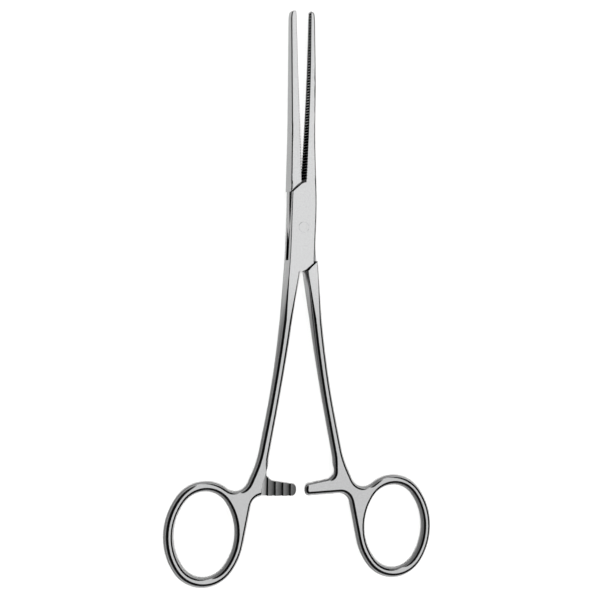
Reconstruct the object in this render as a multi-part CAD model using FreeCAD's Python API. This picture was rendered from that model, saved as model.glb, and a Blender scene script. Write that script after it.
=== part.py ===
"""Straight haemostatic forceps with a box lock, a ratchet and two oval finger rings.

Two forged halves cross at the box lock and turn on one riveted pin. The box half carries
the right jaw, the two cheeks of the box with the slot between them, the left shank, the
left finger ring and a ratchet arm with its teeth up. The tenon half carries the left jaw,
the thin tongue that passes through the slot, the right shank, the right finger ring and a
ratchet arm with its teeth down.

Both halves are built closed, with the joint's axis at X = Y = 0, the jaws along +Y and the
middle of the steel at Z = 0. They are then turned to the slightly open rest position and
raised, so that the origin is where the joint's axis meets the back face of the box.
Lengths are in millimetres and angles in degrees.
"""

import FreeCAD, Part
import math
import os

from FreeCAD import Matrix, Vector

# Lengths from the joint's axis, in the closed position
JAW_REACH = 68.3
RING_CENTRE_X = 28.8
RING_CENTRE_Y = -96.6

# Rest position: each half is turned by this much from the closed position
HALF_OPENING = 2.0

# Box lock. The cheeks, the tongue and the slot all end in lines of one shape: up from a
# corner at the side, over a knee and on to the crotch.
BOX_WIDTH = 8.5
BOX_THICKNESS = 5.0
BOX_EDGE_ROUND = 0.3
CHEEK_CORNER_Y = 11.0
CHEEK_FOOT_Y = 10.75
KNEE_X = 1.2
KNEE_RISE = 2.65
CROTCH_X = 0.15
CROTCH_RISE = 3.15
SHOULDER_GAP = 0.1
SLOT_WALL_INSET = 0.4
TONGUE_THICKNESS = 2.1
TONGUE_SIDE_GAP = 0.05
TONGUE_END_GAP = 0.25

# Joint pin, riveted in the cheeks and running in the tongue
PIN_DIAMETER = 3.2
PIN_CLEARANCE = 0.03

# Jaws
JAW_TAPER_START_Y = 7.5
JAW_BEND_ROUND = 300.0
JAW_SHOULDER_SETBACK = 1.9
JAW_SHOULDER_ROUND = 5.0
JAW_TIP_THICKNESS = 2.4
JAW_THINNING_START_Y = 13.5
JAW_TIP_ROUND = 1.1
JAW_EDGE_ROUND = 0.55
JAW_MEETING_X = 0.3
JAW_MEETING_GAP = 0.06
JAW_CHAMFER = 0.22

# The box half's jaw swells outwards halfway, and the tenon half's is straight
BOX_JAW_BENDS = [(2.98, 29.0), (2.84, 46.0)]
BOX_JAW_SHOULDER_X = 1.94
BOX_JAW_TIP_X = 1.58
BOX_JAW_BOW = 0.38
TENON_JAW_BENDS = [(3.0, 30.0)]
TENON_JAW_SHOULDER_X = 1.76
TENON_JAW_TIP_X = 1.33
TENON_JAW_BOW = 0.12

# Serrations across both meeting faces
TOOTH_PITCH = 0.88
TOOTH_DEPTH = 0.32
TOOTH_LAND = 0.11
TOOTH_START = 0.5
TOOTHED_LENGTH = 53.0

# Shanks
SHANK_THICKNESS = 3.0
SHANK_EDGE_ROUND = 1.35
ROUND_START_Y = -15.0
ROUND_FULL_Y = -29.0
THINNING_START_Y = -19.0
THINNING_END_Y = -51.0
THINNING_BEND = 300.0
OUTER_BOW_START_Y = -12.4
OUTER_BOW_ROUND = 200.0
OUTER_BEND = (7.08, -45.8)
OUTER_BEND_ROUND = 350.0
OUTER_FOOT = (12.0, -74.0)
OUTER_FOOT_ROUND = 30.0
FLARE_SLOPE = 0.43
SADDLE_ROUND = 4.8
INNER_ROOT = (0.87, -13.6)
INNER_BEND = (3.8, -44.2)
INNER_BEND_ROUND = 500.0
INNER_FOOT = (8.55, -73.4)
INNER_FOOT_ROUND = 15.0

# Finger rings: ovals of four arcs
RING_HALF_LENGTH = 13.45
RING_HALF_WIDTH = 10.2
RING_END_ROUND = 8.6
RING_BAND = 2.9

# Ratchet arms
ARM_TIP_X = 1.75
ARM_TIP_ROUND = 1.6
ARM_TOP_TIP_Y = -81.1
ARM_TOP_ROOT = (8.45, -79.7)
ARM_TOP_ROUND = 2.4
ARM_BOTTOM_Y = -84.6
ARM_BOTTOM_ROOT_X = 13.35
ARM_BOTTOM_ROUND = 3.8
RATCHET_COUNT = 4
RATCHET_PITCH = 2.56
RATCHET_FIRST_X = 0.53
RATCHET_DEPTH = 0.6
RATCHET_CREST_GAP = 0.06
RECESS_FOOT_X = 10.7
RECESS_HEAD = (8.3, -73.5)

# How far the cutting shapes run past the steel
OVERCUT = 10.0

HALF_BOX = BOX_WIDTH / 2


def flip_x(shape):
    """Return the shape mirrored left to right."""
    return shape.mirror(Vector(0, 0, 0), Vector(1, 0, 0))


def half_turn(points):
    """Return plan points turned by half a turn about the joint's axis."""
    return [(-x, -y) for x, y in points]


def line_edge(start, end):
    """Return a straight edge between two points."""
    return Part.LineSegment(start, end).toShape()


def arc_edge(centre, radius, start, end):
    """Return the shorter arc of a circle between two of its points."""
    middle = (start - centre) + (end - centre)
    middle.normalize()
    return Part.Arc(start, centre + middle * radius, end).toShape()


def rounded_path(corners):
    """Join (x, y, radius) points with lines, and round each inner corner by a tangent arc."""
    points = [Vector(x, y, 0) for x, y, _ in corners]
    edges = []
    last = points[0]
    for index in range(1, len(points) - 1):
        corner = points[index]
        radius = corners[index][2]
        if radius == 0:
            edges.append(line_edge(last, corner))
            last = corner
            continue
        back = (points[index - 1] - corner).normalize()
        ahead = (points[index + 1] - corner).normalize()
        half_angle = back.getAngle(ahead) / 2
        reach = radius / math.tan(half_angle)
        centre = corner + (back + ahead).normalize() * (radius / math.sin(half_angle))
        edges.append(line_edge(last, corner + back * reach))
        edges.append(arc_edge(centre, radius, corner + back * reach, corner + ahead * reach))
        last = corner + ahead * reach
    edges.append(line_edge(last, points[-1]))
    return edges


def sharp_path(points):
    """Join (x, y) points with lines."""
    return rounded_path([(x, y, 0) for x, y in points])


def slab(edges, low, high):
    """Extrude a closed plan outline from one height to another."""
    face = Part.Face(Part.Wire(Part.__sortEdges__(edges)))
    face.translate(Vector(0, 0, low))
    return face.extrude(Vector(0, 0, high - low))


def prism(points, low, high):
    """Extrude a closed plan polygon of (x, y) points from one height to another."""
    return slab(sharp_path(points + points[:1]), low, high)


def face_kind(face, point):
    """Return which way a face looks at a point: sideways, up or down, or in between."""
    u, v = face.Surface.parameter(point)
    steepness = abs(face.normalAt(u, v).z)
    if steepness < 0.3:
        return "side"
    return "broad" if steepness > 0.9 else "facet"


def rim_edges(shape, kinds, wanted):
    """Return the edges between two different kinds of face, where wanted(point) holds."""
    chosen = []
    for edge in shape.Edges:
        middle = edge.valueAt((edge.FirstParameter + edge.LastParameter) / 2)
        faces = shape.ancestorsOfType(edge, Part.Face)
        if len(faces) != 2 or not wanted(middle):
            continue
        found = [face_kind(face, middle) for face in faces]
        if found[0] != found[1] and set(found) & kinds == set(found):
            chosen.append(edge)
    return chosen


def sharp_rim(shape, wanted):
    """Return the edges between the sides and the broad faces, where wanted(point) holds."""
    return rim_edges(shape, {"side", "broad"}, wanted)


def round_rim(shape, radius, wanted):
    """Round a rim by three facets that touch an arc of the radius from outside.

    They leave the arc by a fiftieth of its radius at most, and cost far fewer triangles.
    """
    middle_facet = radius * (2 - math.sqrt(2))
    shape = shape.makeChamfer(middle_facet, sharp_rim(shape, wanted))
    outer_facet = radius * (math.tan(math.pi / 8) - math.tan(math.pi / 16))
    edges = rim_edges(shape, {"side", "facet"}, wanted) + rim_edges(shape, {"broad", "facet"}, wanted)
    return shape.makeChamfer(outer_facet, edges)


def stretch(shape, low, high):
    """Return what the shape has between two values of Y."""
    half_width = 2 * RING_CENTRE_X
    corners = [(-half_width, low), (half_width, low), (half_width, high), (-half_width, high)]
    return shape.common(prism(corners, -BOX_THICKNESS, BOX_THICKNESS))


def end_section(shape, end_y):
    """Return the outline of the flat face that closes a stretch at this value of Y."""
    for face in shape.Faces:
        if abs(face.BoundBox.YMin - end_y) + abs(face.BoundBox.YMax - end_y) < 1e-6:
            return face.OuterWire
    raise ValueError(f"no face at {end_y}")


def thickness_envelope():
    """Return the slab that both halves fit in: flat at the box and thinner towards both ends."""
    box = BOX_THICKNESS / 2
    shank = SHANK_THICKNESS / 2
    jaw_slope = (box - JAW_TIP_THICKNESS / 2) / (JAW_REACH - JAW_THINNING_START_Y)
    far = JAW_REACH + OVERCUT
    front = [
        (RING_CENTRE_Y - 3 * RING_HALF_LENGTH, shank, 0),
        (THINNING_END_Y, shank, THINNING_BEND),
        (THINNING_START_Y, box, THINNING_BEND),
        (JAW_THINNING_START_Y, box, THINNING_BEND),
        (far, box - jaw_slope * (far - JAW_THINNING_START_Y), 0),
    ]
    back = [(y, -z, radius) for y, z, radius in reversed(front)]
    edges = rounded_path(front) + rounded_path(back)
    edges += rounded_path([front[-1], back[0]]) + rounded_path([back[-1], front[0]])
    half_width = RING_CENTRE_X + 3 * RING_HALF_WIDTH
    plan_to_side = Matrix(0, 0, 1, 0, 1, 0, 0, 0, 0, 1, 0, 0, 0, 0, 0, 1)
    envelope = slab(edges, -half_width, half_width)
    envelope.transformShape(plan_to_side)
    return envelope


def end_line(corner_y):
    """Return the line that ends a cheek, tongue or slot, as seen at the upper left."""
    slope = KNEE_RISE / (HALF_BOX - KNEE_X)
    return [
        (-HALF_BOX - OVERCUT, corner_y - slope * OVERCUT),
        (-KNEE_X, corner_y + KNEE_RISE),
        (-CROTCH_X, corner_y + CROTCH_RISE),
    ]


def meeting_face(corner_y, meeting_x, bow):
    """Return the arc of the right jaw's bowed face, from the crotch to the tip."""
    root = Vector(CROTCH_X, corner_y + CROTCH_RISE, 0)
    tip = Vector(meeting_x + JAW_MEETING_GAP / 2, JAW_REACH, 0)
    middle = (root + tip) * 0.5 + Vector(bow, 0, 0)
    return Part.Arc(root, middle, tip)


def serration_cutter(face_arc, phase):
    """Return the comb that cuts V-shaped grooves across the right jaw's meeting face."""
    outside = TOOTH_DEPTH * TOOTH_LAND / (TOOTH_PITCH - TOOTH_LAND)
    length = face_arc.length()
    first = length - TOOTH_START - phase * TOOTH_PITCH
    count = int(TOOTHED_LENGTH / TOOTH_PITCH)
    points = []
    for step in range(2 * count + 1):
        parameter = face_arc.parameterAtDistance(first - step * TOOTH_PITCH / 2, face_arc.FirstParameter)
        along = face_arc.tangent(parameter)[0]
        inward = Vector(along.y, -along.x, 0)
        depth = TOOTH_DEPTH if step % 2 else -outside
        point = face_arc.value(parameter) + inward * depth
        points.append((point.x, point.y))
    points += [(-HALF_BOX, points[-1][1]), (-HALF_BOX, points[0][1])]
    return prism(points, -BOX_THICKNESS, BOX_THICKNESS)


def upper_part(corner_y, phase, jaw):
    """Return the box above the joint's axis with the right jaw on it.

    The jaw is its outer bends, its shoulder's X, its tip's X, and its face's X and bow.
    """
    bends, shoulder_x, tip_x, meeting_x, bow = jaw
    outline = rounded_path([
        (-HALF_BOX, 0, 0),
        (HALF_BOX, 0, 0),
        (HALF_BOX, JAW_TAPER_START_Y, 80),
        *[(x, y, JAW_BEND_ROUND) for x, y in bends],
        (shoulder_x, JAW_REACH - JAW_SHOULDER_SETBACK, JAW_SHOULDER_ROUND),
        (tip_x, JAW_REACH, JAW_TIP_ROUND),
        (-HALF_BOX, JAW_REACH, 0),
        (-HALF_BOX, 0, 0),
    ])
    part = slab(outline, -BOX_THICKNESS, BOX_THICKNESS).common(thickness_envelope())
    jaw_side = sharp_rim(part, lambda point: point.x > 0 and point.y > 0.01)
    part = part.makeFillet(JAW_EDGE_ROUND, jaw_side)
    part = round_rim(part, BOX_EDGE_ROUND, lambda point: point.x < 0.4 - HALF_BOX and point.y > 0.01)
    face_arc = meeting_face(corner_y, meeting_x, bow)
    tip = face_arc.EndPoint
    crotch = (CROTCH_X, corner_y + CROTCH_RISE)
    line = end_line(corner_y) + [crotch]
    far_y = JAW_REACH + OVERCUT
    opening = sharp_path(line) + [face_arc.toShape()]
    opening += sharp_path([(tip.x, tip.y), (tip.x, far_y), (line[0][0], far_y), line[0]])
    part = part.cut(slab(opening, -BOX_THICKNESS, BOX_THICKNESS))
    inner = sharp_rim(part, lambda point: -0.5 < point.x < 1 and point.y > crotch[1] + 0.01)
    part = part.makeChamfer(JAW_CHAMFER, inner)
    return part.cut(serration_cutter(face_arc, phase))


def ring_oval(offset):
    """Return the centres, radii and joints of the ring's oval, moved outwards by offset.

    The arcs come in the order top, outer, bottom, inner, and each joint is where an arc
    meets the next one. The ring is the right one.
    """
    rise = RING_HALF_LENGTH - RING_END_ROUND
    narrowing = RING_HALF_WIDTH - RING_END_ROUND
    side = (rise ** 2 + RING_HALF_WIDTH ** 2 - RING_END_ROUND ** 2) / (2 * narrowing)
    inset = side - RING_HALF_WIDTH
    centre = Vector(RING_CENTRE_X, RING_CENTRE_Y, 0)
    centres = [centre + Vector(*place) for place in ((0, rise), (-inset, 0), (0, -rise), (inset, 0))]
    radii = [RING_END_ROUND + offset, side + offset] * 2
    joints = []
    for x_sign, y_sign in ((1, 1), (1, -1), (-1, -1), (-1, 1)):
        away = Vector(x_sign * inset, y_sign * rise, 0).normalize()
        side_centre = centre - Vector(x_sign * inset, 0, 0)
        joints.append(side_centre + away * (side + offset))
    return centres, radii, joints


def ring_hole():
    """Return the oval hole of the right finger ring as a solid."""
    centres, radii, joints = ring_oval(0)
    edges = [arc_edge(centres[i], radii[i], joints[i - 1], joints[i]) for i in range(4)]
    return slab(edges, -BOX_THICKNESS, BOX_THICKNESS)


def saddle(foot, direction, centre, radius):
    """Return the saddle arc between the flaring shank and the ring, and where it touches them."""
    outward = Vector(-direction.y, direction.x, 0)
    start = foot + outward * SADDLE_ROUND - centre
    reach = radius + SADDLE_ROUND
    along = start.dot(direction)
    travel = -along - math.sqrt(along ** 2 - start.dot(start) + reach ** 2)
    middle = start + direction * travel + centre
    on_shank = middle - outward * SADDLE_ROUND
    on_ring = centre + (middle - centre).normalize() * radius
    return arc_edge(middle, SADDLE_ROUND, on_shank, on_ring), on_shank, on_ring


def tangent_point(point, centre, radius):
    """Return where the line from a point touches a circle, on the lower side."""
    towards = centre - point
    swing = math.asin(radius / towards.Length)
    angle = math.atan2(towards.y, towards.x) - swing
    reach = math.sqrt(towards.Length ** 2 - radius ** 2)
    return point + Vector(math.cos(angle), math.sin(angle), 0) * reach


def right_handle():
    """Return the right shank with its finger ring and ratchet arm, still at full thickness."""
    centres, radii, joints = ring_oval(RING_BAND)
    foot = Vector(OUTER_FOOT[0], OUTER_FOOT[1], 0)
    flare = Vector(FLARE_SLOPE, -1, 0).normalize()
    saddle_edge, on_shank, on_ring = saddle(foot, flare, centres[0], radii[0])
    web_corner = Vector(ARM_BOTTOM_ROOT_X, ARM_BOTTOM_Y, 0)
    web_touch = tangent_point(web_corner, centres[3], radii[3])
    inner_slope = (INNER_BEND[0] - INNER_ROOT[0]) / (INNER_ROOT[1] - INNER_BEND[1])
    inner_top_x = INNER_ROOT[0] + inner_slope * INNER_ROOT[1]
    edges = rounded_path([
        (inner_top_x, 0, 0),
        (HALF_BOX, 0, 0),
        (HALF_BOX, OUTER_BOW_START_Y, OUTER_BOW_ROUND),
        OUTER_BEND + (OUTER_BEND_ROUND,),
        OUTER_FOOT + (OUTER_FOOT_ROUND,),
        (on_shank.x, on_shank.y, 0),
    ])
    edges.append(saddle_edge)
    stops = [on_ring] + joints[:3] + [web_touch]
    edges += [arc_edge(centres[i], radii[i], stops[i], stops[i + 1]) for i in range(4)]
    edges += rounded_path([
        (web_touch.x, web_touch.y, 0),
        (web_corner.x, web_corner.y, ARM_BOTTOM_ROUND),
        (-ARM_TIP_X, ARM_BOTTOM_Y, ARM_TIP_ROUND),
        (-ARM_TIP_X, ARM_TOP_TIP_Y, ARM_TIP_ROUND),
        ARM_TOP_ROOT + (ARM_TOP_ROUND,),
        INNER_FOOT + (INNER_FOOT_ROUND,),
        INNER_BEND + (INNER_BEND_ROUND,),
        (inner_top_x, 0, 0),
    ])
    handle = slab(edges, -BOX_THICKNESS, BOX_THICKNESS).common(thickness_envelope())
    handle = handle.cut(ring_hole())
    near = stretch(handle, ROUND_START_Y, OVERCUT)
    near = round_rim(near, BOX_EDGE_ROUND, lambda point: ROUND_START_Y + 0.01 < point.y < -0.01)
    far = stretch(handle, 2 * RING_CENTRE_Y, ROUND_FULL_Y)
    far = round_rim(far, SHANK_EDGE_ROUND, lambda point: point.y < ROUND_FULL_Y - 0.01)
    sections = [end_section(near, ROUND_START_Y), end_section(far, ROUND_FULL_Y)]
    return near.fuse([Part.makeLoft(sections, True, True), far])


def lower_part(corner_y):
    """Return the box below the joint's axis with the left shank, ring and arm on it."""
    foot_y = -corner_y - CROTCH_RISE
    inside_x = -HALF_BOX + 2 * BOX_EDGE_ROUND
    stub = prism([(inside_x, 0), (inside_x, foot_y), (HALF_BOX, foot_y), (HALF_BOX, 0)],
                 -BOX_THICKNESS / 2, BOX_THICKNESS / 2)
    box_side = sharp_rim(stub, lambda point: point.x > HALF_BOX - 0.01)
    stub = stub.makeFillet(JAW_EDGE_ROUND, box_side)
    line = half_turn(end_line(corner_y))
    beyond = [(-HALF_BOX, line[-1][1]), (-HALF_BOX, foot_y - OVERCUT), (line[0][0], foot_y - OVERCUT)]
    stub = stub.cut(prism(line + beyond, -BOX_THICKNESS, BOX_THICKNESS))
    return stub.fuse(flip_x(right_handle()))


def blank(corner_y, foot_y, phase, jaw):
    """Return one half in one piece, with its jaw on the right and its shank on the left."""
    return upper_part(corner_y, phase, jaw).fuse(lower_part(foot_y)).removeSplitter()


def pin_hole(radius):
    """Return a hole on the joint's axis as a solid."""
    return Part.makeCylinder(radius, 2 * BOX_THICKNESS, Vector(0, 0, -BOX_THICKNESS))


def ratchet_cutter():
    """Return what the left arm loses above its saw teeth, which face up."""
    crest = -RATCHET_CREST_GAP / 2
    root = crest - RATCHET_DEPTH
    steep_run = 0.05
    profile = [(-RECESS_FOOT_X - OVERCUT, BOX_THICKNESS), (-RECESS_FOOT_X - OVERCUT, root)]
    for number in reversed(range(RATCHET_COUNT)):
        steep_x = -RATCHET_FIRST_X - number * RATCHET_PITCH
        profile += [(steep_x, root), (steep_x + steep_run, crest)]
    beyond = ARM_TIP_X + OVERCUT
    profile += [(ARM_TIP_X, root), (beyond, root), (beyond, BOX_THICKNESS)]
    stand_up = Matrix(1, 0, 0, 0, 0, 0, -1, 0, 0, 1, 0, 0, 0, 0, 0, 1)
    teeth = prism(profile, 0, -RING_CENTRE_Y)
    teeth.transformShape(stand_up)
    head_x, head_y = RECESS_HEAD
    foot_y = ARM_BOTTOM_Y - 2.5
    recess = prism([(-RECESS_FOOT_X, foot_y), (beyond, foot_y), (beyond, head_y),
                    (-head_x, head_y), (-RECESS_FOOT_X, ARM_TOP_TIP_Y)],
                   -BOX_THICKNESS, BOX_THICKNESS)
    return teeth.common(recess)


def box_half():
    """Return the half with the box: right jaw, cheeks and slot, left shank, ring and arm."""
    wall = end_line(CHEEK_CORNER_Y - SLOT_WALL_INSET)
    upper_right = [(-x, y) for x, y in wall]
    clear_y = CHEEK_CORNER_Y + CROTCH_RISE + 1
    plan = upper_right + [(CROTCH_X, clear_y), (-HALF_BOX - OVERCUT, clear_y)]
    slot = prism(plan + half_turn(plan),
                 -TONGUE_THICKNESS / 2 - TONGUE_SIDE_GAP, TONGUE_THICKNESS / 2 + TONGUE_SIDE_GAP)
    jaw = (BOX_JAW_BENDS, BOX_JAW_SHOULDER_X, BOX_JAW_TIP_X, JAW_MEETING_X, BOX_JAW_BOW)
    half = blank(CHEEK_CORNER_Y, CHEEK_FOOT_Y, 0, jaw)
    return half.cut([slot, pin_hole(PIN_DIAMETER / 2), ratchet_cutter()])


def shoulder(corner_y):
    """Return the plan outline of what the tenon half gives up to the cheeks' upper ends."""
    rise = Vector(-KNEE_RISE, HALF_BOX - KNEE_X, 0).normalize() * SHOULDER_GAP
    line = [(x + rise.x, y + rise.y) for x, y in end_line(corner_y)]
    return line + [(HALF_BOX + OVERCUT, line[-1][1])]


def tenon_half():
    """Return the half with the tongue: left jaw, tongue, right shank, ring and arm."""
    inset = SLOT_WALL_INSET + TONGUE_END_GAP
    jaw = (TENON_JAW_BENDS, TENON_JAW_SHOULDER_X, TENON_JAW_TIP_X, -JAW_MEETING_X, TENON_JAW_BOW)
    half = flip_x(blank(CHEEK_CORNER_Y - inset, CHEEK_FOOT_Y - inset, 0.5, jaw))
    pocket = shoulder(CHEEK_CORNER_Y) + half_turn(shoulder(CHEEK_FOOT_Y))
    above = prism(pocket, TONGUE_THICKNESS / 2, BOX_THICKNESS)
    below = prism(pocket, -BOX_THICKNESS, -TONGUE_THICKNESS / 2)
    teeth = ratchet_cutter().rotate(Vector(0, 0, 0), Vector(0, 1, 0), 180)
    return half.cut([above, below, pin_hole(PIN_DIAMETER / 2 + PIN_CLEARANCE), teeth])


def joint_pin():
    """Return the rivet, ground flush with both cheeks."""
    return Part.makeCylinder(PIN_DIAMETER / 2, BOX_THICKNESS, Vector(0, 0, -BOX_THICKNESS / 2))


def place(shape, angle):
    """Turn a piece about the joint's axis and raise it onto the back face of the box."""
    shape = shape.copy()
    shape.rotate(Vector(0, 0, 0), Vector(0, 0, 1), angle)
    shape.translate(Vector(0, 0, BOX_THICKNESS / 2))
    return shape


def main():
    """Build the three pieces and write one STEP file for each."""
    os.makedirs("parts", exist_ok=True)
    pieces = {
        "box_half": place(box_half(), -HALF_OPENING),
        "tenon_half": place(tenon_half(), HALF_OPENING),
        "joint_pin": place(joint_pin(), -HALF_OPENING),
    }
    for name, shape in pieces.items():
        print(name, shape.isValid(), len(shape.Solids), round(shape.Volume, 2))
        shape.exportStep(f"parts/{name}.step")


main()
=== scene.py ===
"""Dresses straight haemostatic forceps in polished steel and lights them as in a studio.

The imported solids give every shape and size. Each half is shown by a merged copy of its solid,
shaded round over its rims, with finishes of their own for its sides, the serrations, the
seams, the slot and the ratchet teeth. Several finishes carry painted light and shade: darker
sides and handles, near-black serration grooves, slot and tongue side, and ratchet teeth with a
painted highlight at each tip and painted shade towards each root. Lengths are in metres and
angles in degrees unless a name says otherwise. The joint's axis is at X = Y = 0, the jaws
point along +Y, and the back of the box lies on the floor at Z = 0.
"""

import logging
import math
from dataclasses import dataclass
from enum import Enum

import bmesh
import bpy
from mathutils import Matrix, Vector

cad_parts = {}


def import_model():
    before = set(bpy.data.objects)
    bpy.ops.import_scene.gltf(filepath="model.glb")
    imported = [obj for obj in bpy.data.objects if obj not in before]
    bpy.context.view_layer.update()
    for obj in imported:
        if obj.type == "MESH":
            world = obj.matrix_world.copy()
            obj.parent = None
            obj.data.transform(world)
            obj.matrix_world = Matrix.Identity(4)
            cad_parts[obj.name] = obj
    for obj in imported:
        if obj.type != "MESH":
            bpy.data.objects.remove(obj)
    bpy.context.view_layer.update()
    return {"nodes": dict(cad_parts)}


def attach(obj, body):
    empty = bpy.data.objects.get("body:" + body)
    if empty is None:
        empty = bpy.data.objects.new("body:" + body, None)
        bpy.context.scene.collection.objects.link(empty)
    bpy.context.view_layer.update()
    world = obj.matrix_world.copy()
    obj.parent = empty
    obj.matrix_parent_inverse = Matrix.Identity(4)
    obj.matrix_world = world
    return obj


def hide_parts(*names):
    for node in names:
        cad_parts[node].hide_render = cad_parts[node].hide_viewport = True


LOG = logging.getLogger("forceps")

# Half the box's thickness, and how far each half is turned from closed at rest.
MIDDLE_HEIGHT = 0.0025
REST_TURN = 2.0

# How near corners merge, and the angle between faces up to which they are shaded as one round.
MERGE_DISTANCE = 2e-6
SMOOTH_ANGLE = 32.0

# The Y at which painted shade starts to darken the steel towards the handles, and the Y where
# it is full.
HANDLE_SHADE_START = -0.012
HANDLE_SHADE_FULL = -0.036

MOTTLE_DETAIL = 4.0
GRAIN_DETAIL = 3.0

# Painted highlight and shade along each ratchet tooth: how bright a tooth is at each share of
# its length, from its tip to its root.
TOOTH_PAINTED_SHADE = ((0.0, 1.0), (0.55, 0.62), (0.8, 0.34), (0.93, 0.04), (1.0, 0.03))

Triple = tuple[float, float, float]


def remap(
    tree: bpy.types.NodeTree,
    value: bpy.types.NodeSocket,
    source: tuple[float, float],
    target: tuple[float, float],
    smooth: bool = False,
    clamp: bool = True,
) -> bpy.types.NodeSocket:
    """Add a Map Range node.

    Args:
        tree: The nodes that it joins.
        value: The value to map.
        source: The two values that are mapped.
        target: What these two become.
        smooth: Whether the result eases in and out between them.
        clamp: Whether the result stays between them.

    Returns:
        The mapped value.
    """
    node = tree.nodes.new("ShaderNodeMapRange")
    node.interpolation_type = "SMOOTHSTEP" if smooth else "LINEAR"
    node.clamp = clamp
    names = ("From Min", "From Max", "To Min", "To Max")
    for name, number in zip(names, (*source, *target)):
        node.inputs[name].default_value = number
    tree.links.new(value, node.inputs["Value"])
    return node.outputs["Result"]


def multiply(
    tree: bpy.types.NodeTree, first: bpy.types.NodeSocket, second: bpy.types.NodeSocket
) -> bpy.types.NodeSocket:
    """Add a Math node that multiplies two values.

    Args:
        tree: The nodes that it joins.
        first: One value.
        second: The other value.

    Returns:
        Their product.
    """
    node = tree.nodes.new("ShaderNodeMath")
    node.operation = "MULTIPLY"
    tree.links.new(first, node.inputs[0])
    tree.links.new(second, node.inputs[1])
    return node.outputs["Value"]


def noise(
    tree: bpy.types.NodeTree, place: bpy.types.NodeSocket, scale: float, detail: float
) -> bpy.types.NodeSocket:
    """Add a noise texture.

    Args:
        tree: The nodes that it joins.
        place: The coordinates that it reads.
        scale: How fine it is.
        detail: How many finer layers it has.

    Returns:
        The noise, from 0 to 1.
    """
    node = tree.nodes.new("ShaderNodeTexNoise")
    node.inputs["Scale"].default_value = scale
    node.inputs["Detail"].default_value = detail
    tree.links.new(place, node.inputs["Vector"])
    return node.outputs["Fac"]


def merged_copy(node: bpy.types.Object, name: str) -> bpy.types.Object:
    """Copy a node's mesh, merge its doubles and leave the copy in edit mode, all selected.

    Args:
        node: The node's object.
        name: The copy's name.

    Returns:
        The copy, at the origin and linked to the scene.
    """
    piece = bpy.data.objects.new(name, node.data.copy())
    bpy.context.scene.collection.objects.link(piece)
    bpy.ops.object.select_all(action="DESELECT")
    piece.select_set(True)
    bpy.context.view_layer.objects.active = piece
    bpy.ops.mesh.customdata_custom_splitnormals_clear()
    bpy.ops.object.mode_set(mode="EDIT")
    bpy.ops.mesh.select_all(action="SELECT")
    bpy.ops.mesh.remove_doubles(threshold=MERGE_DISTANCE)
    return piece


def shade_round() -> None:
    """Leave edit mode and shade the piece's rims as round, up to its sharp edges."""
    bpy.ops.object.mode_set(mode="OBJECT")
    bpy.ops.object.shade_smooth_by_angle(angle=math.radians(SMOOTH_ANGLE))


class Half(Enum):
    """The two forged halves, named as their nodes and bodies are."""

    BOX = "box_half"
    TENON = "tenon_half"


@dataclass(frozen=True)
class StudioCamera:
    """A camera at the photograph's viewing angle, over the left of the forceps."""

    location: Triple = (-0.225003, -0.022871, 0.558712)
    right: Triple = (0.927177, 0.002618, 0.374609)
    up: Triple = (-0.002427, 0.999997, -0.000981)
    lens_mm: float = 114.12
    sensor_mm: float = 36.0
    nearest: float = 0.01
    farthest: float = 20.0

    def build(self) -> bpy.types.Object:
        """Add the camera and make it the scene's own.

        Returns:
            The camera object.
        """
        data = bpy.data.cameras.new("studio_camera")
        data.lens = self.lens_mm
        data.sensor_width = self.sensor_mm
        data.clip_start = self.nearest
        data.clip_end = self.farthest
        camera = bpy.data.objects.new("studio_camera", data)
        bpy.context.scene.collection.objects.link(camera)
        right, up = Vector(self.right), Vector(self.up)
        turn = Matrix((right, up, right.cross(up))).transposed()
        camera.matrix_world = Matrix.Translation(self.location) @ turn.to_4x4()
        bpy.context.scene.camera = camera
        return camera


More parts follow.
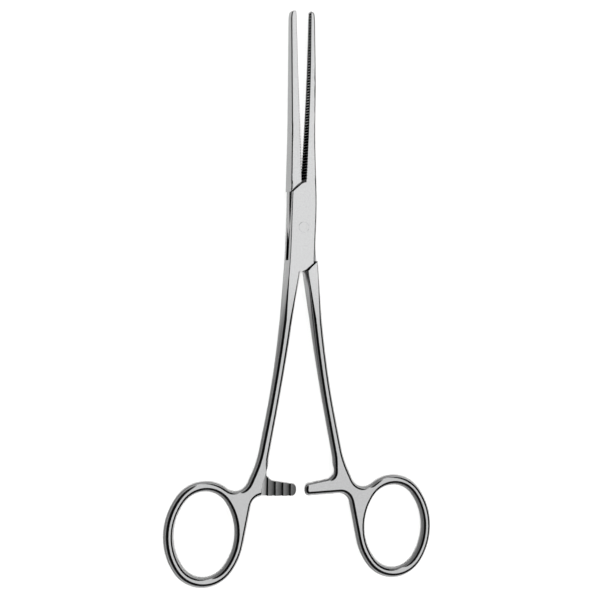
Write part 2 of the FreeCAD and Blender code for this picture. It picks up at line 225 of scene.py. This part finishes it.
@dataclass(frozen=True)
class Studio:
    """A pale floor under one overhead softbox, in a room with grey walls and a dark ceiling.

    The softbox's four angles are where its edges hang, as seen from the forceps, to the
    right (+X) or towards the jaws (+Y) of straight above. The fill comes from the camera's
    side, so that its shadows fall behind the forceps. The tops and starts of the walls and
    the ceiling are parts of a direction that is one unit long, upwards or to the right.
    """

    box_height: float = 1.2
    box_left_angle: float = 2.0
    box_right_angle: float = 37.0
    box_near_angle: float = -20.0
    box_far_angle: float = 78.0
    box_radiance: float = 1.3
    fill_strength: float = 3.5
    fill_spread: float = 12.0
    fill_lean: float = -22.0
    floor_half_side: float = 4.0
    floor_colour: Triple = (0.87, 0.87, 0.865)
    floor_roughness: float = 0.9
    wall_radiance: float = 0.42
    wall_top: float = 0.24
    ceiling_start: float = 0.46
    ceiling_radiance: float = 0.008
    right_start: float = 0.2
    right_full: float = 0.7
    right_share: float = 0.15

    def build(self) -> None:
        """Add the softbox, the fill light, the floor and the room."""
        self._hang_softbox()
        self._add_fill()
        self._lay_floor()
        self._surround()
        bpy.context.scene.view_settings.view_transform = "Standard"

    def _hang_softbox(self) -> None:
        """Hang the rectangular light that the steel mirrors."""
        angles = (
            self.box_left_angle, self.box_right_angle, self.box_near_angle, self.box_far_angle
        )
        left, right, near, far = (
            self.box_height * math.tan(math.radians(angle)) for angle in angles
        )
        light = bpy.data.lights.new("softbox", "AREA")
        light.shape = "RECTANGLE"
        light.size = right - left
        light.size_y = far - near
        light.energy = math.pi * light.size * light.size_y * self.box_radiance
        lamp = bpy.data.objects.new("softbox", light)
        lamp.location = ((left + right) / 2, (near + far) / 2, self.box_height)
        bpy.context.scene.collection.objects.link(lamp)

    def _add_fill(self) -> None:
        """Add the light that whitens the floor and that the steel doesn't mirror."""
        light = bpy.data.lights.new("floor_fill", "SUN")
        light.energy = self.fill_strength
        light.angle = math.radians(self.fill_spread)
        lamp = bpy.data.objects.new("floor_fill", light)
        lamp.rotation_euler[1] = math.radians(self.fill_lean)
        lamp.visible_glossy = False
        bpy.context.scene.collection.objects.link(lamp)

    def _lay_floor(self) -> None:
        """Lay the pale floor that the box's back rests on."""
        bpy.ops.object.select_all(action="DESELECT")
        bpy.ops.mesh.primitive_plane_add(size=2 * self.floor_half_side, location=(0, 0, 0))
        floor = bpy.context.active_object
        floor.name = "studio_floor"
        material = bpy.data.materials.new("floor_paper")
        material.use_nodes = True
        shader = material.node_tree.nodes["Principled BSDF"]
        shader.inputs["Base Color"].default_value = (*self.floor_colour, 1.0)
        shader.inputs["Roughness"].default_value = self.floor_roughness
        shader.inputs["Specular IOR Level"].default_value = 0.0
        floor.data.materials.append(material)

    def _surround(self) -> None:
        """Give the room grey walls, darker at its right, and a dark ceiling."""
        world = bpy.data.worlds.new("studio_room")
        world.use_nodes = True
        tree = world.node_tree
        place = tree.nodes.new("ShaderNodeTexCoord")
        way = tree.nodes.new("ShaderNodeSeparateXYZ")
        tree.links.new(place.outputs["Generated"], way.inputs["Vector"])
        height = remap(
            tree,
            way.outputs["Z"],
            (self.wall_top, self.ceiling_start),
            (self.wall_radiance, self.ceiling_radiance),
            smooth=True,
        )
        right = remap(
            tree,
            way.outputs["X"],
            (self.right_start, self.right_full),
            (1.0, self.right_share),
            smooth=True,
        )
        radiance = multiply(tree, height, right)
        tree.links.new(radiance, tree.nodes["Background"].inputs["Color"])
        bpy.context.scene.world = world


@dataclass(frozen=True)
class SteelFinish:
    """One finish of stainless steel, with its mottle and its fine grain.

    The handle's painted light is how bright the finish stays on the handles, which painted shade
    darkens. The edge share is how much of the light it sends on at a flat angle. A finish with a
    tooth pitch paints a highlight on each tooth's tip and shade that deepens towards its root.
    """

    name: str
    colour: Triple
    handle_painted_light: float
    roughness: float
    roughness_swing: float
    tint_swing: float
    mottle_scale: float
    grain_scale: Triple
    grain_depth: float
    edge_share: float = 1.0
    tooth_pitch: float = 0.0
    tooth_start: float = 0.0

    def material(self) -> bpy.types.Material:
        """Make the finish's material on Object coordinates.

        Returns:
            The new material.
        """
        material = bpy.data.materials.new(self.name)
        material.use_nodes = True
        tree = material.node_tree
        shader = tree.nodes["Principled BSDF"]
        shader.inputs["Metallic"].default_value = 1.0
        shader.inputs["Specular Tint"].default_value = (*(self.edge_share,) * 3, 1.0)
        place = tree.nodes.new("ShaderNodeTexCoord").outputs["Object"]
        mottle = noise(tree, place, self.mottle_scale, MOTTLE_DETAIL)

        shade = tree.nodes.new("ShaderNodeVectorMath")
        shade.operation = "SCALE"
        shade.inputs[0].default_value = self.colour
        tree.links.new(self._brightness(tree, place, mottle), shade.inputs["Scale"])
        tree.links.new(shade.outputs["Vector"], shader.inputs["Base Color"])

        glossiest = self.roughness - self.roughness_swing
        dullest = self.roughness + self.roughness_swing
        gloss = remap(tree, mottle, (0.0, 1.0), (glossiest, dullest))
        tree.links.new(gloss, shader.inputs["Roughness"])
        tree.links.new(self._grain(tree, place), shader.inputs["Normal"])
        return material

    def _brightness(
        self,
        tree: bpy.types.NodeTree,
        place: bpy.types.NodeSocket,
        mottle: bpy.types.NodeSocket,
    ) -> bpy.types.NodeSocket:
        """Vary the colour by the mottle, and by painted shade towards the handles and along the
        teeth.

        Args:
            tree: The material's nodes.
            place: The Object coordinates.
            mottle: The mottle, from 0 to 1.

        Returns:
            What the colour is multiplied by.
        """
        axes = tree.nodes.new("ShaderNodeSeparateXYZ")
        tree.links.new(place, axes.inputs["Vector"])
        tint = remap(tree, mottle, (0.0, 1.0), (1.0 - self.tint_swing, 1.0 + self.tint_swing))
        # Painted shade that darkens the steel towards the handles, where the light falls off.
        handle_shade = remap(
            tree,
            axes.outputs["Y"],
            (HANDLE_SHADE_FULL, HANDLE_SHADE_START),
            (self.handle_painted_light, 1.0),
            smooth=True,
        )
        brightness = multiply(tree, tint, handle_shade)
        # Painted highlight and shade along the ratchet teeth.
        if self.tooth_pitch:
            brightness = multiply(tree, brightness, self._painted_tooth_shade(tree, axes.outputs["X"]))
        return brightness

    def _painted_tooth_shade(
        self, tree: bpy.types.NodeTree, across: bpy.types.NodeSocket
    ) -> bpy.types.NodeSocket:
        """Paint a highlight on each tooth's tip and shade that deepens towards its root.

        Args:
            tree: The material's nodes.
            across: The place along the arm.

        Returns:
            The teeth's share of the brightness, their painted highlight and shade, as a grey.
        """
        first_tooth = (self.tooth_start, self.tooth_start + self.tooth_pitch)
        count = remap(tree, across, first_tooth, (0.0, 1.0), clamp=False)
        share = tree.nodes.new("ShaderNodeMath")
        share.operation = "FRACT"
        tree.links.new(count, share.inputs[0])
        ramp = tree.nodes.new("ShaderNodeValToRGB")
        stops = ramp.color_ramp.elements
        for place, _ in TOOTH_PAINTED_SHADE[1:-1]:
            stops.new(place)
        for stop, (_, value) in zip(stops, TOOTH_PAINTED_SHADE):
            stop.color = (value, value, value, 1.0)
        tree.links.new(share.outputs["Value"], ramp.inputs["Fac"])
        return ramp.outputs["Color"]

    def _grain(
        self, tree: bpy.types.NodeTree, place: bpy.types.NodeSocket
    ) -> bpy.types.NodeSocket:
        """Raise the fine grain that the grinding or polishing leaves.

        Args:
            tree: The material's nodes.
            place: The Object coordinates.

        Returns:
            The normal with the grain in it.
        """
        stretch = tree.nodes.new("ShaderNodeMapping")
        stretch.inputs["Scale"].default_value = self.grain_scale
        tree.links.new(place, stretch.inputs["Vector"])
        grain = noise(tree, stretch.outputs["Vector"], 1.0, GRAIN_DETAIL)
        bump = tree.nodes.new("ShaderNodeBump")
        bump.inputs["Strength"].default_value = 1.0
        bump.inputs["Distance"].default_value = self.grain_depth
        tree.links.new(grain, bump.inputs["Height"])
        return bump.outputs["Normal"]


class Finish(Enum):
    """The steel's finishes, in the order of a piece's material slots."""

    POLISHED = SteelFinish(
        name="polished_steel",
        colour=(0.52, 0.522, 0.525),
        handle_painted_light=0.82,
        roughness=0.13,
        roughness_swing=0.03,
        tint_swing=0.1,
        mottle_scale=1800.0,
        grain_scale=(6000.0, 500.0, 6000.0),
        grain_depth=4e-7,
    )
    # Ground sides: their grain is real, their darker colour is painted shade for the dim floor
    # they mirror.
    GROUND_WITH_PAINTED_SHADE = SteelFinish(
        name="ground_sides_painted_shade",
        colour=(0.34, 0.342, 0.345),
        handle_painted_light=0.4,
        roughness=0.24,
        roughness_swing=0.04,
        tint_swing=0.08,
        mottle_scale=900.0,
        grain_scale=(1500.0, 1500.0, 9000.0),
        grain_depth=8e-7,
    )
    # Near-black with little light at a flat angle: painted shade in the serration grooves, the
    # slot and the tongue's side inside it; the seam walls are dark as real joints are.
    GROOVES_AND_PAINTED_SHADE = SteelFinish(
        name="milled_grooves_and_painted_shade",
        colour=(0.012, 0.012, 0.013),
        handle_painted_light=1.0,
        roughness=0.45,
        roughness_swing=0.05,
        tint_swing=0.3,
        mottle_scale=2500.0,
        grain_scale=(3000.0, 3000.0, 9000.0),
        grain_depth=2e-6,
        edge_share=0.06,
    )
    # Filed teeth: their bright colour and the tooth ramp paint a highlight on each tip and shade
    # at each root.
    FILED = SteelFinish(
        name="filed_teeth",
        colour=(0.8, 0.8, 0.802),
        handle_painted_light=1.0,
        roughness=0.42,
        roughness_swing=0.05,
        tint_swing=0.2,
        mottle_scale=1500.0,
        grain_scale=(12000.0, 700.0, 9000.0),
        grain_depth=4e-6,
        tooth_pitch=0.00256,
        tooth_start=-0.00826,
    )


@dataclass
class ForgedHalf:
    """One half of the forceps, shown by a merged and softly shaded copy of its solid.

    The places are those of the closed forceps, so they are looked up with the half turned
    back by its share of the opening. Heights are measured from the middle plane. The limits,
    matches, tilts and the skew are parts of a face's normal, which is one unit long.
    """

    half: Half
    node: bpy.types.Object
    turn: float

    steep_limit: float = 0.5
    level_limit: float = 0.99
    flat_height: float = 0.0009
    round_start: float = -0.015
    round_full: float = -0.029
    handle_end: float = -1.0
    box_end: float = 0.08
    shank_inset: float = 0.00027
    root_inset: float = 0.00015
    box_inset: float = 0.00015

    seam_normal: Triple = (-0.656, 0.755, 0.0)
    seam_match: float = 0.85
    seam_height: float = 0.0023
    seam_bevel: float = 0.00012
    upright_limit: float = 0.1
    broad_limit: float = 0.9

    serration_start: float = 0.0135
    serration_band: float = 0.0014
    land_match: float = 0.9
    flank_match: float = 0.5
    flank_tilt: float = 0.2

    box_reach: float = 0.014
    slot_half_height: float = 0.00112
    tongue_side: float = -0.004
    tongue_cut: Triple = (0.0, 0.0005, 0.00355)
    tongue_cut_normal: Triple = (0.0, 0.357, -0.934)

    arm_low: float = -0.0855
    arm_high: float = -0.0735
    arm_reach: float = 0.0133
    tooth_height: float = 0.0008
    tooth_match: float = 0.5
    tooth_tilt: float = 0.15
    tooth_skew: float = 0.05

    def build(self) -> bpy.types.Object:
        """Make the piece, dress it and let it ride on its body.

        Returns:
            The piece that stands for the node.
        """
        piece = merged_copy(self.node, f"{self.half.value}_forging")
        if self.half is Half.TENON:
            self._split_tongue()
        self._ease_rims()
        self._bevel_seams()
        shade_round()
        self._dress(piece)
        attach(piece, self.half.value)
        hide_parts(self.half.value)
        return piece

    def _closed(self, place: Vector) -> Vector:
        """Return a place or direction as it is in the closed forceps."""
        return Matrix.Rotation(math.radians(-self.turn), 3, "Z") @ place

    def _split_tongue(self) -> None:
        """Cut the tongue's side abreast of the rivet, where it goes into the slot."""
        bpy.ops.mesh.select_all(action="DESELECT")
        shape = bmesh.from_edit_mesh(bpy.context.edit_object.data)
        for face in shape.faces:
            centre = self._closed(face.calc_center_median())
            outer = centre.x < self.tongue_side and abs(centre.y) < self.box_reach
            thin = all(
                abs(v.co.z - MIDDLE_HEIGHT) < self.slot_half_height for v in face.verts
            )
            if outer and thin and abs(face.normal.z) < self.steep_limit:
                face.select_set(True)
        bmesh.update_edit_mesh(bpy.context.edit_object.data)
        # The cut bounds the painted shade on the part of the tongue's side inside the slot.
        bpy.ops.mesh.bisect(plane_co=self.tongue_cut, plane_no=self.tongue_cut_normal)

    def _select_flats(self, low: float, high: float, upward: int) -> bool:
        """Select the broad flats between two values of Y that face up or down.

        Args:
            low: Least Y of a face's middle.
            high: Greatest Y of a face's middle.
            upward: 1 for the flats that face up and -1 for those that face down.

        Returns:
            Whether any face is selected.
        """
        bpy.ops.mesh.select_all(action="DESELECT")
        shape = bmesh.from_edit_mesh(bpy.context.edit_object.data)
        found = False
        for face in shape.faces:
            centre = face.calc_center_median()
            raised = (centre.z - MIDDLE_HEIGHT) * upward > self.flat_height
            level = face.normal.z * upward > self.level_limit
            if raised and level and low < centre.y <= high:
                face.select_set(True)
                found = True
        bmesh.update_edit_mesh(bpy.context.edit_object.data)
        return found

    def _ease_rims(self) -> None:
        """Inset the flats, so that they stay flat and the rims take the whole turn of light."""
        stretches = (
            (self.handle_end, self.round_full, self.shank_inset),
            (self.round_full, self.round_start, self.root_inset),
            (self.round_start, self.box_end, self.box_inset),
        )
        for low, high, width in stretches:
            for upward in (1, -1):
                if self._select_flats(low, high, upward):
                    bpy.ops.mesh.inset(thickness=width, depth=0.0, use_even_offset=False)

    def _bevel_seams(self) -> None:
        """Break the edges along the box's diagonal seams, on both faces."""
        bpy.ops.mesh.select_all(action="DESELECT")
        shape = bmesh.from_edit_mesh(bpy.context.edit_object.data)
        across = Vector(self.seam_normal)
        for edge in shape.edges:
            if len(edge.link_faces) != 2:
                continue
            wall = min(edge.link_faces, key=lambda face: abs(face.normal.z))
            flat = max(edge.link_faces, key=lambda face: abs(face.normal.z))
            outer = all(abs(v.co.z - MIDDLE_HEIGHT) > self.seam_height for v in edge.verts)
            square = (
                abs(wall.normal.z) < self.upright_limit
                and abs(flat.normal.z) > self.broad_limit
            )
            if outer and square and abs(self._closed(wall.normal).dot(across)) > self.seam_match:
                edge.select_set(True)
        bmesh.update_edit_mesh(bpy.context.edit_object.data)
        bpy.ops.mesh.bevel(offset=self.seam_bevel, segments=2, affect="EDGES")

    def _is_lit(self, centre: Vector) -> bool:
        """Tell whether a place on the tongue's side is on the cut's side without painted shade.
        """
        return (centre - Vector(self.tongue_cut)).dot(Vector(self.tongue_cut_normal)) > 0

    def _finish_of(self, face: bpy.types.MeshPolygon, heights: list[float]) -> Finish:
        """Choose a face's finish.

        Args:
            face: The face.
            heights: How far its corners are above or below the middle plane.

        Returns:
            The finish.
        """
        centre, normal = self._closed(face.center), self._closed(face.normal)
        side = -1 if self.half is Half.BOX else 1
        steep = abs(normal.z) < self.steep_limit
        # Serration lands stay polished; the flanks between them get painted shade.
        if abs(centre.x) < self.serration_band and centre.y > self.serration_start:
            if normal.x * side > self.land_match:
                return Finish.POLISHED
            if normal.x * side > self.flank_match and abs(normal.y) > self.flank_tilt:
                return Finish.GROOVES_AND_PAINTED_SHADE
        # Near the box, seam walls are dark as real joints are.
        if abs(centre.y) < self.box_reach:
            if abs(normal.dot(Vector(self.seam_normal))) > self.seam_match and steep:
                return Finish.GROOVES_AND_PAINTED_SHADE
            # In the slot, all but the tongue's flats and its side clear of the cut get painted
            # shade.
            if max(heights) < self.slot_half_height:
                ground = self.half is Half.TENON and (not steep or self._is_lit(centre))
                return Finish.GROUND_WITH_PAINTED_SHADE if ground else Finish.GROOVES_AND_PAINTED_SHADE
        if self._is_toothed(centre, normal, side):
            return Finish.FILED
        # Steep sides take the ground colour, darkened by painted shade.
        return Finish.GROUND_WITH_PAINTED_SHADE if steep else Finish.POLISHED

    def _is_toothed(self, centre: Vector, normal: Vector, side: int) -> bool:
        """Tell whether a face is on the toothed side of the ratchet arm.

        Args:
            centre: The face's middle in the closed forceps.
            normal: The face's normal in the closed forceps.
            side: -1 for the box half, whose teeth face up, and 1 for the tenon half.

        Returns:
            Whether the face is filed.
        """
        on_arm = self.arm_low < centre.y < self.arm_high and abs(centre.x) < self.arm_reach
        level = abs(centre.z - MIDDLE_HEIGHT) < self.tooth_height
        sloping = abs(normal.y) < self.tooth_skew and normal.x * side < -self.tooth_tilt
        return on_arm and normal.z * side < -self.tooth_match and (level or sloping)

    def _dress(self, piece: bpy.types.Object) -> None:
        """Give the piece its finishes, face by face.

        Args:
            piece: The merged copy of the node.
        """
        piece.data.materials.clear()
        for finish in Finish:
            piece.data.materials.append(finish.value.material())
        order = list(Finish)
        places = [v.co.z - MIDDLE_HEIGHT for v in piece.data.vertices]
        for face in piece.data.polygons:
            heights = [abs(places[corner]) for corner in face.vertices]
            face.material_index = order.index(self._finish_of(face, heights))


@dataclass
class FlushRivet:
    """The rivet, spread until it fills its hole, so that its ends vanish in the polish."""

    node: bpy.types.Object
    spread: float = 1.02

    def build(self) -> bpy.types.Object:
        """Copy the pin's solid, spread it and let it ride where the pin does.

        Returns:
            The piece that stands for the pin.
        """
        piece = merged_copy(self.node, "rivet")
        bpy.ops.transform.resize(
            value=(self.spread, self.spread, 1.0),
            center_override=(0.0, 0.0, MIDDLE_HEIGHT),
        )
        shade_round()
        piece.data.materials.clear()
        piece.data.materials.append(Finish.POLISHED.value.material())
        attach(piece, Half.BOX.value)
        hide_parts("joint_pin")
        return piece


def main() -> None:
    """Load the frame, dress the forceps and set up the studio."""
    logging.basicConfig(level=logging.INFO, format="%(name)s: %(message)s")
    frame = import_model()
    StudioCamera().build()
    Studio().build()
    nodes = frame["nodes"]
    for half, turn in ((Half.BOX, -REST_TURN), (Half.TENON, REST_TURN)):
        piece = ForgedHalf(half, nodes[half.value], turn).build()
        LOG.info("%s: %d faces", piece.name, len(piece.data.polygons))
    rivet = FlushRivet(nodes["joint_pin"]).build()
    LOG.info("%s: %d faces", rivet.name, len(rivet.data.polygons))


if __name__ == "__main__":
    main()
